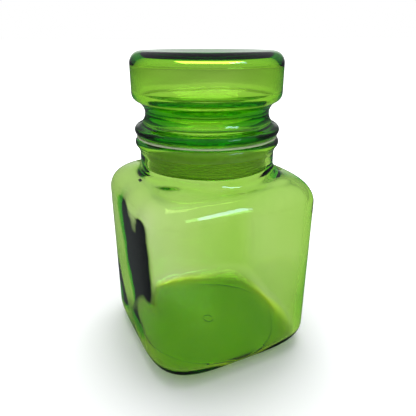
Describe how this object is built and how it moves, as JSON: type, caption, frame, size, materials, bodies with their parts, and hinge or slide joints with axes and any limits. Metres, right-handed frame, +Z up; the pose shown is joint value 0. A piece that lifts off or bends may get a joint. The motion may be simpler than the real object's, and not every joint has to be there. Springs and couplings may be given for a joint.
{
  "type": "apothecary jar",
  "caption": "Square green glass jar with bowed faces, a sloping shoulder and a round neck, closed by a hollow waisted glass stopper with a ribbed plastic seal.",
  "frame": {"origin": "centre of the base, in the plane that the jar stands on", "axes": "+Z up along the axis of the neck and stopper; the four faces look along +X, -X, +Y and -Y"},
  "size_m": [0.1, 0.1, 0.1685],
  "materials": {
    "jar_glass": "clear yellow-green glass, fire polished, slightly wavy",
    "stopper_glass": "clear green glass, thicker and deeper in colour than the jar",
    "seal_plastic": "translucent soft plastic, yellowed with age"
  },
  "bodies": {
    "jar": {"jar_body": "jar_glass"},
    "seal": {"stopper_seal": "seal_plastic"},
    "stopper": {"stopper": "stopper_glass"}
  },
  "joints": [
    {"name": "stopper_lift", "type": "slide", "parent": "jar", "child": "seal", "axis": [0, 0, 1], "range_m": [0, 0.06]},
    {"name": "stopper_turn", "type": "hinge", "parent": "seal", "child": "stopper", "pos_m": [0, 0, 0.1252], "axis": [0, 0, 1], "continuous": true}
  ]
}
